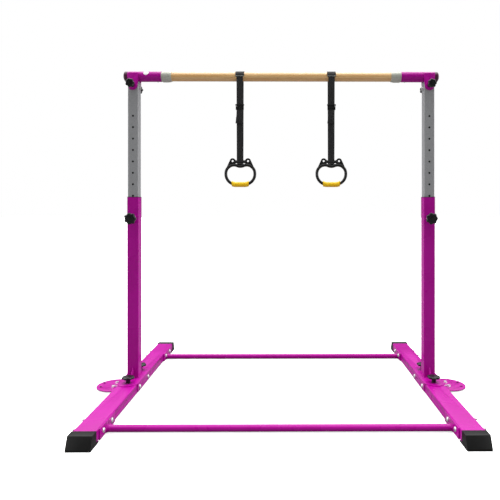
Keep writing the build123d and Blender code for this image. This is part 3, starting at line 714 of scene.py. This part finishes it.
# ---------------------------------------------------------------- straps
# webbing, in mm
WEB_WIDTH = 28.0
WEB_THICK = 1.8
PAD_WIDTH = 38.0
PAD_THICK = 1.5
PAD_ABOVE_STRAP = 1.8
BINDING_ABOVE_STRAP = 2.65
BINDING_SIZE = (37.6, 0.5, 2.0)
TAIL_BELOW_BUCKLE, TAIL_LENGTH = 12.0, 60.0
TAIL_DRIFT, TAIL_SWING = 4.0, 1.6
TAIL_GAP, HEM_GAP, STITCH_GAP = 2.4, 1.9, 6.8
HEM_BELOW_BUCKLE = 44.0
STITCH_ROWS = (48.0, 50.5)
STITCH_ROW_WIDTH = 24.0
# the pad's first angle, just below the bar's front, and how far round the bar it goes
PAD_START, PAD_WRAP = math.radians(-9), math.radians(198)
# the ring's upper bar with its clearance, in metres
RING_BAR = 7.3 * MM


def webbing(name, places, closed, body, nodes=(), width=WEB_WIDTH, thick=WEB_THICK):
    """Flat strap through the places, whose local x runs across it and z along it."""
    bm = bmesh.new()
    half_w, half_t, lip = width / 2 * MM, thick / 2 * MM, 0.35 * MM
    section = [
        (-half_w, -half_t + lip),
        (-half_w + lip, -half_t),
        (half_w - lip, -half_t),
        (half_w, -half_t + lip),
        (half_w, half_t - lip),
        (half_w - lip, half_t),
        (-half_w + lip, half_t),
        (-half_w, half_t - lip),
    ]
    along = bm.verts.layers.float.new("along")
    across = bm.verts.layers.float.new("across")
    rings, run, last = [], 0.0, None
    for place in places:
        here = place.translation
        run += (here - last).length if last is not None else 0.0
        last = here.copy()
        corners = []
        for x, y in section:
            v = bm.verts.new(place @ Vector((x, y, 0)))
            v[along] = run
            v[across] = x
            corners.append(v)
        rings.append([bm.edges.new((a, b)) for a, b in zip(corners, corners[1:] + corners[:1])])
    total = run + ((places[0].translation - last).length if closed else 0.0)
    join_rings(bm, rings, closed)
    uv = bm.loops.layers.uv.new("weave")
    for face in bm.faces:
        far = max(v[along] for v in face.verts)
        for loop in face.loops:
            value = loop.vert[along]
            if closed and far - value > total / 2:
                value += total
            loop[uv].uv = (value, loop.vert[across])
    piece(name, bm, WEBBING, body, nodes, smooth=50)


def strap_places(x, top, low, outer, inner, points=40):
    """Places round a loop that hugs the bar above and the ring's bar below."""
    lean = math.asin((outer - inner) / (top - low))
    places = []

    def put(centre_z, radius, angle):
        # angle 0 faces the front, 90 degrees is straight up
        out = Vector((0, -math.cos(angle), math.sin(angle)))
        go = Vector((0, math.sin(angle), math.cos(angle)))
        at = Vector((x, 0, centre_z)) + out * radius
        places.append(facing(at, out, go))

    for step in range(points + 1):
        put(top, outer, -lean + (math.pi + 2 * lean) * step / points)
    straight(places, x, top, low, outer, inner, math.pi + lean)
    for step in range(points // 2 + 1):
        put(low, inner, math.pi + lean + (math.pi - 2 * lean) * step / (points // 2))
    straight(places, x, low, top, inner, outer, -lean)
    return places


def facing(at, out, go):
    """Place with local y along out, z along go, and x across."""
    side_way = out.cross(go)
    turn = Matrix((side_way, out, go)).transposed().to_4x4()
    return Matrix.Translation(at) @ turn


def straight(places, x, from_z, to_z, from_r, to_r, angle, count=24):
    """Straight leg of the strap between its two bends."""
    out = Vector((0, -math.cos(angle), math.sin(angle)))
    start = Vector((x, 0, from_z)) + out * from_r
    finish = Vector((x, 0, to_z)) + out * to_r
    go = (finish - start).normalized()
    for step in range(1, count):
        at = start.lerp(finish, step / count)
        places.append(facing(at, out, go))


def strap_loop(hand):
    """The loop's middle in X, its upper and lower bend radii, and the lower bend's height."""
    low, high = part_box(f"strap_{hand}")
    half_thick = WEB_THICK / 2 * MM
    outer = (high.y - low.y) / 2 - half_thick
    inner = RING_BAR + half_thick
    return (low.x + high.x) / 2, outer, inner, low.z + inner + half_thick


bar_z = middle("wooden_bar").z
for hand in HANDS:
    x, outer, inner, low_z = strap_loop(hand)
    places = strap_places(x, bar_z, low_z, outer, inner)
    webbing(f"strap_{hand}_webbing", places, True, f"strap_{hand}", [f"strap_{hand}"])


# ---------------------------------------------------------------- moulded rings, grips, buckles
def moulded_copy(cad_node, name, material, body, voxel, smoothing):
    """The CAD part with every inner corner run out smooth, as it leaves a mould."""
    made = piece(name, copy_of(cad_node), material, body, [cad_node], smooth=180)
    skin = made.modifiers.new("skin", "REMESH")
    skin.mode = "VOXEL"
    skin.voxel_size = voxel * MM
    skin.use_smooth_shade = True
    relax = made.modifiers.new("relax", "SMOOTH")
    relax.iterations = smoothing
    relax.factor = 0.5
    return made


for hand in HANDS:
    moulded_copy(
        f"ring_{hand}", f"ring_{hand}_moulded", RING_BLACK, f"ring_{hand}", 0.9, 3
    )
    moulded_copy(
        f"grip_{hand}", f"grip_{hand}_foam", YELLOW, f"ring_{hand}", 0.8, 2
    )


def ladder_lock(hand, x, run, buckle_z, lean):
    """Strap adjuster: two rails, three bars before the webbing, one behind, a flared lip."""
    bm = bmesh.new()
    rail = 8.6
    parts = [
        ((2.6, rail, 23.0), (-16.2, 0.0, -1.0)),
        ((2.6, rail, 23.0), (16.2, 0.0, -1.0)),
        ((33.4, 2.8, 4.2), (0.0, -2.9, -10.6)),
        ((32.0, 2.8, 4.4), (0.0, -2.9, -1.4)),
        ((32.0, 2.6, 7.0), (0.0, 2.9, -5.6)),
        ((37.2, 3.4, 4.8), (0.0, -3.0, 9.6)),
        ((3.4, rail, 6.0), (-17.4, 0.0, 9.2)),
        ((3.4, rail, 6.0), (17.4, 0.0, 9.2)),
    ]
    for size, at in parts:
        add_to(bm, soft_box(Vector(size) * MM, Vector(at) * MM, 0.7 * MM))
    place = Matrix.Translation((x, -run, buckle_z)) @ Matrix.Rotation(lean, 4, "X")
    bmesh.ops.transform(bm, matrix=place, verts=bm.verts)
    cad_node = f"buckle_{hand}"
    piece(f"{cad_node}_moulded", bm, RING_BLACK, f"strap_{hand}", [cad_node], smooth=30)


def stitches(name, places, body, length=2.4):
    """Row of machine stitches along places whose local y faces out and z runs along."""
    bm = bmesh.new()
    for place in places:
        stitch = turned([(0.05, 0, 0), (0.3, 0.3, 0), (0.3, length - 0.3, 0), (0.05, length, 0)], 8)
        add_to(bm, stitch, place)
    piece(name, bm, THREAD, body, (), smooth=60)


def across_strap(x, y, z, width, pitch=3.6):
    """Places for a row of stitches across the strap's front face."""
    count = int(width / pitch)
    turn = Matrix.Rotation(math.radians(90), 4, "Y")
    start = -count * pitch / 2
    return [
        Matrix.Translation((x + (start + step * pitch) * MM, y, z)) @ turn for step in range(count)
    ]


def run_y(z, outer, lean):
    """How far the strap's front run lies before the bar's axis at a height."""
    return outer / math.cos(lean) - (bar_z - z) * math.tan(lean)


def strap_pad(hand, x, outer):
    """The wider sleeve of webbing that keeps the strap from cutting into the wood."""
    body = f"strap_{hand}"
    places = []
    for step in range(41):
        angle = PAD_START + PAD_WRAP * step / 40
        out = Vector((0, -math.cos(angle), math.sin(angle)))
        go = Vector((0, math.sin(angle), math.cos(angle)))
        at = Vector((x, 0, bar_z)) + out * (outer + PAD_ABOVE_STRAP * MM)
        places.append(facing(at, out, go))
    webbing(f"strap_{hand}_pad", places, False, body, width=PAD_WIDTH, thick=PAD_THICK)
    at = (x, -(outer + BINDING_ABOVE_STRAP * MM), bar_z - 1.2 * MM)
    bm = soft_box(Vector(BINDING_SIZE) * MM, at, 0.2 * MM)
    piece(f"strap_{hand}_binding", bm, BINDING, body, ())


def strap_tail(hand, x, outer, lean, buckle_z):
    """The free end, hanging before the strap from the buckle, with its hem turned up."""
    body = f"strap_{hand}"
    places = []
    for step in range(25):
        t = step / 24
        z = buckle_z - (TAIL_BELOW_BUCKLE + TAIL_LENGTH * t) * MM
        shift = -TAIL_DRIFT * t * t * MM
        swing = (TAIL_GAP + TAIL_SWING * math.sin(math.pi * t)) * MM
        at = Vector((x + shift, -run_y(z, outer, lean) - swing, z))
        places.append(facing(at, Vector((0, -1, 0)), Vector((0, 0, -1))))
    webbing(f"strap_{hand}_tail", places, False, body)
    hem_top = buckle_z - HEM_BELOW_BUCKLE * MM
    hem = [place for place in places if place.translation.z < hem_top]
    fold = [Matrix.Translation((-0.6 * MM, -HEM_GAP * MM, 0)) @ place for place in hem]
    webbing(f"strap_{hand}_hem", fold, False, body)
    row = []
    for drop in STITCH_ROWS:
        z = buckle_z - drop * MM
        front = -run_y(z, outer, lean) - STITCH_GAP * MM
        row += across_strap(x - 2.6 * MM, front, z, STITCH_ROW_WIDTH)
    stitches(f"strap_{hand}_stitches", row, body)


for hand in HANDS:
    x, outer, inner, low_z = strap_loop(hand)
    lean = math.asin((outer - inner) / (bar_z - low_z))
    buckle_z = middle(f"buckle_{hand}").z
    ladder_lock(hand, x, run_y(buckle_z, outer, lean), buckle_z, lean)
    strap_pad(hand, x, outer)
    strap_tail(hand, x, outer, lean, buckle_z)


# ---------------------------------------------------------------- welds, holes, sticker
SLEEVE_RADIUS = 22.5 * MM
# a gusset's foot and height along its welds, and the welds' distance from its middle
GUSSET_REACH, GUSSET_HEIGHT = 32 * MM, 44 * MM
GUSSET_HALF = 2.2 * MM
# weld hoops round the height pin's collar and the cross tube, and half a lug's weld
COLLAR_RADIUS, TUBE_RADIUS = 15.3 * MM, 12.6 * MM
LUG_HALF = 22 * MM
# anchor holes in the floor plates, and their depth in mm
ANCHOR_X, ANCHOR_Y = 790 * MM, 25 * MM
PLATE_DEPTH = 4.2
# radii and heights in mm round the section of a black ring that paints shade into each anchor hole
HOLE_SHADE_SECTION = [
    (4.9, 0.0),
    (4.9, PLATE_DEPTH),
    (5.9, 4.3),
    (5.7, 4.8),
    (4.2, 4.8),
    (3.9, 4.3),
    (3.9, 0.0),
]


def bead(bm, points, closed, radius=1.7, sides=8):
    """Weld bead along the points: a round run with the ripples of a hand-held torch."""
    rings = []
    count = len(points)
    for index, point in enumerate(points):
        ahead = points[(index + 1) % count] if closed or index + 1 < count else point
        before = points[index - 1] if closed or index else point
        go = (ahead - before).normalized()
        thick = radius * (0.9 + 0.14 * (index % 3))
        turn = go.to_track_quat("Z", "Y").to_matrix().to_4x4()
        rings.append(ring_of(bm, thick * MM, sides, Matrix.Translation(point) @ turn))
    join_rings(bm, rings, closed)


def points_along(start, finish, pitch=1.3):
    """Points from start to finish, about pitch mm apart."""
    start, finish = Vector(start), Vector(finish)
    count = max(3, round((finish - start).length / (pitch * MM)))
    return [start.lerp(finish, step / count) for step in range(count + 1)]


def hoop(centre, radius, axis, pitch=1.3):
    """Points round a circle about a world axis, radius in metres."""
    count = round(2 * math.pi * radius / (pitch * MM))
    points = []
    for step in range(count):
        a = 2 * math.pi * step / count
        u, v = radius * math.cos(a), radius * math.sin(a)
        offset = {"X": (0, u, v), "Y": (u, 0, v), "Z": (u, v, 0)}[axis]
        points.append(Vector(centre) + Vector(offset))
    return points


def weld(name, runs, body):
    bm = bmesh.new()
    for points, closed in runs:
        run = bmesh.new()
        bead(run, points, closed)
        add_to(bm, run)
    piece(name, bm, MAGENTA, body, (), smooth=60)


foot_runs, collar_runs, tube_runs, lug_runs = [], [], [], []
saddle_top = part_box("foot_saddle_right")[1].z
for hand, sign in HANDS.items():
    low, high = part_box(f"outer_post_{hand}")
    x = (low.x + high.x) / 2
    reach = (high.x - low.x) / 2
    ways = ((-1, -1), (1, -1), (1, 1), (-1, 1))
    corners = [(x + a * reach, b * reach, saddle_top) for a, b in ways]
    for start, finish in zip(corners, corners[1:] + corners[:1]):
        foot_runs.append((points_along(start, finish), False))
    for end_sign in ENDS.values():
        for side_x in (x - GUSSET_HALF, x + GUSSET_HALF):
            heel = (side_x, end_sign * reach, saddle_top)
            toe = (side_x, end_sign * (reach + GUSSET_REACH), saddle_top)
            tip = (side_x, end_sign * reach, saddle_top + GUSSET_HEIGHT)
            foot_runs.append((points_along(heel, toe), False))
            foot_runs.append((points_along(heel, tip), False))
    pin_z = middle(f"height_pin_{hand}").z
    collar_runs.append((hoop((x, -reach, pin_z), COLLAR_RADIUS, "Y"), True))
    for end in ENDS:
        tube = middle(f"cross_tube_{end}")
        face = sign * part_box(f"cross_tube_{end}")[1].x
        tube_runs.append((hoop((face, tube.y, tube.z), TUBE_RADIUS, "X"), True))
    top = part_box("yoke_lugs")[1].z - 0.3 * MM
    out = math.sqrt((SLEEVE_RADIUS + 0.2 * MM) ** 2 - (top - bar_z) ** 2)
    for end_sign in ENDS.values():
        start, finish = [(x + a * LUG_HALF, end_sign * out, top) for a in (-1, 1)]
        lug_runs.append((points_along(start, finish), False))
weld("post_foot_welds", foot_runs, "base")
weld("pin_collar_welds", collar_runs, "base")
weld("cross_tube_welds", tube_runs, "base")
weld("lug_welds", lug_runs, "bar_frame")

# black rings in the floor plates' anchor holes are painted shade for the holes' dark insides
bm = bmesh.new()
for sign in HANDS.values():
    for end_sign in ENDS.values():
        foot_z = plate_top - PLATE_DEPTH * MM
        at = Matrix.Translation((sign * ANCHOR_X, end_sign * ANCHOR_Y, foot_z))
        hole_shade = bmesh.new()
        hoops = []
        for radius, z in HOLE_SHADE_SECTION:
            hoops.append(ring_of(hole_shade, radius * MM, 32, Matrix.Translation((0, 0, z * MM))))
        join_rings(hole_shade, hoops, closed=True)
        add_to(bm, hole_shade, at)
piece("anchor_hole_painted_shade", bm, CAP_BLACK, "base", (), smooth=30)


def sticker(name, x, radius, angle, body):
    """Round blank label wrapped on the sleeve, its middle at an angle above the front."""
    bm = bmesh.new()
    wrap = SLEEVE_RADIUS + 0.12 * MM
    hoops = []
    for step in range(1, 9):
        size = radius * MM * step / 8
        hoops.append(ring_of(bm, size, 48, Matrix.Identity(4)))
    join_rings(bm, hoops, capped=False)
    bmesh.ops.edgeloop_fill(bm, edges=hoops[0])
    for v in bm.verts:
        turn = angle + v.co.y / wrap
        v.co = Vector((x + v.co.x, -wrap * math.cos(turn), bar_z + wrap * math.sin(turn)))
    made = piece(name, bm, LABEL, body, (), smooth=60)
    thick = made.modifiers.new("thick", "SOLIDIFY")
    thick.thickness = 0.12 * MM
    thick.offset = 0.0


sticker("sleeve_left_label", -594 * MM, 11.5, math.radians(34), "bar_frame")


# ---------------------------------------------------------------- stage, light and camera
def studio_floor():
    bm = bmesh.new()
    bmesh.ops.create_circle(bm, cap_ends=True, segments=96, radius=60.0)
    mesh = bpy.data.meshes.new("studio_floor")
    bm.to_mesh(mesh)
    bm.free()
    mesh.materials.append(studio_floor_paint())
    floor = bpy.data.objects.new("studio_floor", mesh)
    floor.location.z = -0.2 * MM
    bpy.context.scene.collection.objects.link(floor)


def fourth_power(tree, value):
    square = node(tree, "ShaderNodeMath", {0: value, 1: value}, operation="MULTIPLY").outputs[0]
    return node(tree, "ShaderNodeMath", {0: square, 1: square}, operation="MULTIPLY").outputs[0]


def light_tent(overhead, sides, fill):
    """Soft light from above the rear and from both sides, little from the front."""
    world = bpy.data.worlds.new("light_tent")
    world.use_nodes = True
    tree = world.node_tree
    heading = node(tree, "ShaderNodeTexCoord").outputs["Generated"]
    parts = node(tree, "ShaderNodeSeparateXYZ", {0: heading})
    back = node(
        tree, "ShaderNodeMath", {0: parts.outputs[1], 1: 0.2}, operation="MULTIPLY"
    ).outputs[0]
    lean = node(
        tree, "ShaderNodeMath", {0: parts.outputs[2], 1: 0.98, 2: back}, operation="MULTIPLY_ADD"
    ).outputs[0]
    held = node(tree, "ShaderNodeMath", {0: lean, 1: 0.0}, operation="MAXIMUM").outputs[0]
    above = node(
        tree,
        "ShaderNodeMath",
        {0: fourth_power(tree, held), 1: overhead, 2: fill},
        operation="MULTIPLY_ADD",
    ).outputs[0]
    light = node(
        tree,
        "ShaderNodeMath",
        {0: fourth_power(tree, parts.outputs[0]), 1: sides, 2: above},
        operation="MULTIPLY_ADD",
    ).outputs[0]
    cast = tree.nodes["Background"]
    cast.inputs["Color"].default_value = linear("#FFFFFF")
    tree.links.new(light, cast.inputs["Strength"])
    backdrop = node(tree, "ShaderNodeBackground", {"Color": linear("#FFFFFF"), "Strength": 1.0})
    path = node(tree, "ShaderNodeLightPath")
    blend = node(
        tree,
        "ShaderNodeMixShader",
        {0: path.outputs["Is Camera Ray"], 1: cast.outputs[0], 2: backdrop.outputs[0]},
    )
    tree.links.new(blend.outputs[0], tree.nodes["World Output"].inputs["Surface"])
    bpy.context.scene.world = world


studio_floor()
light_tent(overhead=5.0, sides=3.4, fill=0.06)
bpy.context.scene.view_settings.view_transform = "Standard"

lens = bpy.data.cameras.new("camera")
lens.lens = 36.77
lens.sensor_width = 36.0
lens.shift_x = -0.0806
lens.shift_y = -0.0785
camera = bpy.data.objects.new("camera", lens)
camera.location = (0.026, -2.262, 0.779)
camera.rotation_euler = (math.radians(90), 0, -0.0058)
bpy.context.scene.collection.objects.link(camera)
bpy.context.scene.camera = camera
